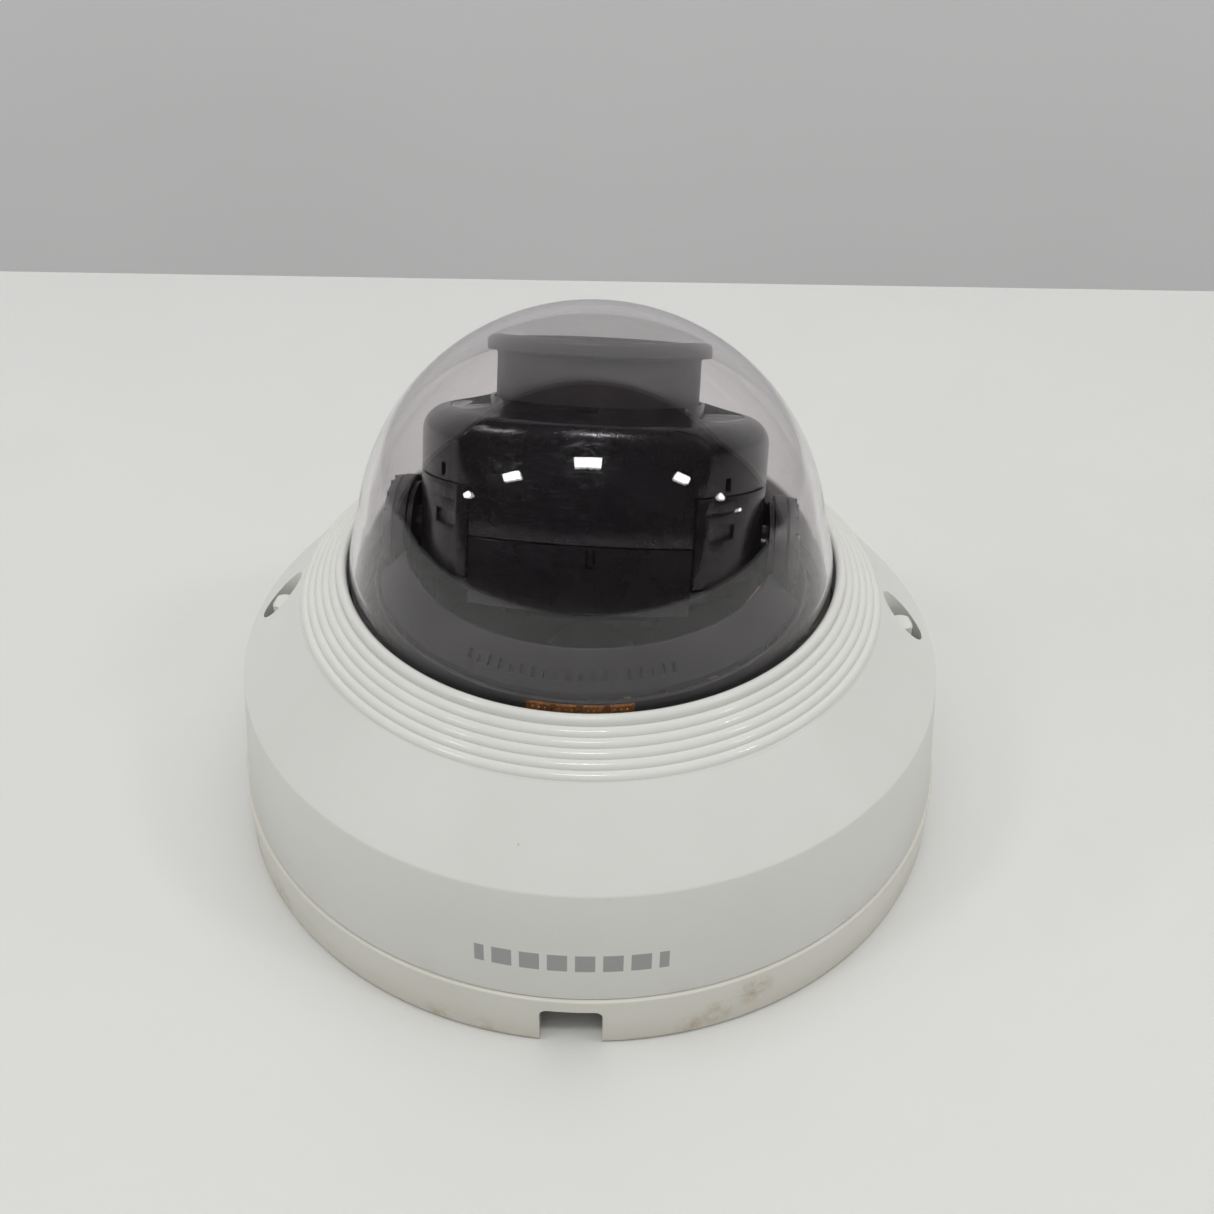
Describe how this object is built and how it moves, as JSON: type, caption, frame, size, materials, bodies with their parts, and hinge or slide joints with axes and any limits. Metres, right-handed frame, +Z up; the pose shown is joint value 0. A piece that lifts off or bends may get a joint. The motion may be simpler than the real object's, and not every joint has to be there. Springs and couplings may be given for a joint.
{
  "type": "dome security camera",
  "caption": "Round surface-mount security camera: white ribbed cover and clear bubble over a camera module that pans, tilts and rotates.",
  "frame": {"origin": "centre of the base's mounting plane, on the bubble's axis", "axes": "+Z up the bubble's axis away from the wall or ceiling, -Y towards the cable notch, X through the two cover screws"},
  "size_m": [0.137, 0.137, 0.1],
  "materials": {
    "base_paint": "ivory moulded plastic, slightly yellowed, satin",
    "cover_paint": "warm white powder paint, fine satin",
    "bubble_clear": "clear moulded polycarbonate, glossy",
    "black_rubber": "matte black rubber",
    "hood_rubber": "soft dark grey silicone",
    "screw_steel": "plain steel screw",
    "black_plastic": "black moulded plastic",
    "liner_plastic": "charcoal moulded plastic, satin",
    "knob_plastic": "charcoal moulded plastic",
    "module_plastic": "black moulded plastic, semi gloss",
    "window_dark": "deep red-black infrared-pass plastic",
    "chassis_steel": "zinc-plated pressed steel",
    "board_green": "green solder mask",
    "chip_black": "moulded chip package",
    "standoff_brass": "turned brass",
    "pad_grey": "soft thermal pad",
    "sink_aluminium": "extruded aluminium",
    "capacitor_can": "sleeved aluminium can",
    "jack_shield": "tinned sheet metal",
    "terminal_green": "green moulded terminal",
    "bearing_white": "natural acetal",
    "contact_amber": "amber film over copper pads",
    "button_red": "red push button",
    "harness_tan": "tan insulated lead",
    "clip_yellow": "yellow nylon clip",
    "led_board_white": "white solder mask",
    "emitter_resin": "clear resin emitter",
    "barrel_black": "black anodised lens barrel",
    "lens_glass": "coated optical glass"
  },
  "bodies": {
    "root": {"base_housing": "base_paint", "base_seal": "black_rubber", "cable_grommet": "black_rubber", "top_cover": "cover_paint", "cover_screws": "screw_steel", "cover_screw_seals": "black_rubber", "dome_bubble": "bubble_clear", "dome_gasket": "black_rubber", "dome_retainer_ring": "black_plastic", "retainer_screws": "screw_steel", "inner_liner": "liner_plastic", "liner_screws": "screw_steel", "contact_strip": "contact_amber", "chassis_plate": "chassis_steel", "chassis_screws": "screw_steel", "main_board": "board_green", "board_standoffs": "standoff_brass", "board_screws": "screw_steel", "processor_chip": "chip_black", "thermal_pad": "pad_grey", "heat_sink": "sink_aluminium", "memory_chips": "chip_black", "board_capacitors": "capacitor_can", "network_jack": "jack_shield", "power_terminal": "terminal_green", "card_socket": "jack_shield", "reset_switch": "chip_black", "pan_bearing_ring": "bearing_white"},
    "reset": {"reset_button": "button_red"},
    "pan": {"pan_turret": "black_plastic", "pan_shroud": "liner_plastic", "pan_retaining_ring": "black_plastic", "pan_ring_screws": "screw_steel", "tilt_bushings": "black_plastic", "camera_harness": "harness_tan", "wire_clip": "clip_yellow"},
    "tilt": {"tilt_bracket": "module_plastic", "tilt_knobs": "knob_plastic", "module_front_cover": "module_plastic", "module_rear_housing": "module_plastic", "ir_window_left": "window_dark", "ir_window_right": "window_dark", "ir_led_board": "led_board_white", "ir_emitters": "emitter_resin", "module_screws": "screw_steel"},
    "rotate": {"lens_holder": "black_plastic", "lens_hood": "hood_rubber", "lens_barrel": "barrel_black", "front_lens_element": "lens_glass", "rear_lens_element": "lens_glass", "focus_motor": "jack_shield", "sensor_board": "board_green", "image_sensor": "chip_black", "sensor_screws": "screw_steel"}
  },
  "joints": [
    {"name": "pan", "type": "hinge", "parent": "root", "child": "pan", "pos_m": [0, 0, 0.0274], "axis": [0, 0, 1], "range_deg": [-177, 177]},
    {"name": "tilt", "type": "hinge", "parent": "pan", "child": "tilt", "pos_m": [0, 0, 0.0574], "axis": [-0.9986, 0.0523, 0], "range_deg": [-24, 40]},
    {"name": "rotate", "type": "hinge", "parent": "tilt", "child": "rotate", "pos_m": [0, 0, 0.0574], "axis": [0.0213, 0.4062, 0.9135], "range_deg": [-177, 177]},
    {"name": "reset_press", "type": "slide", "parent": "root", "child": "reset", "axis": [0, 0, -1], "range_m": [0, 0.0005], "stiffness_N_per_m": 400}
  ]
}
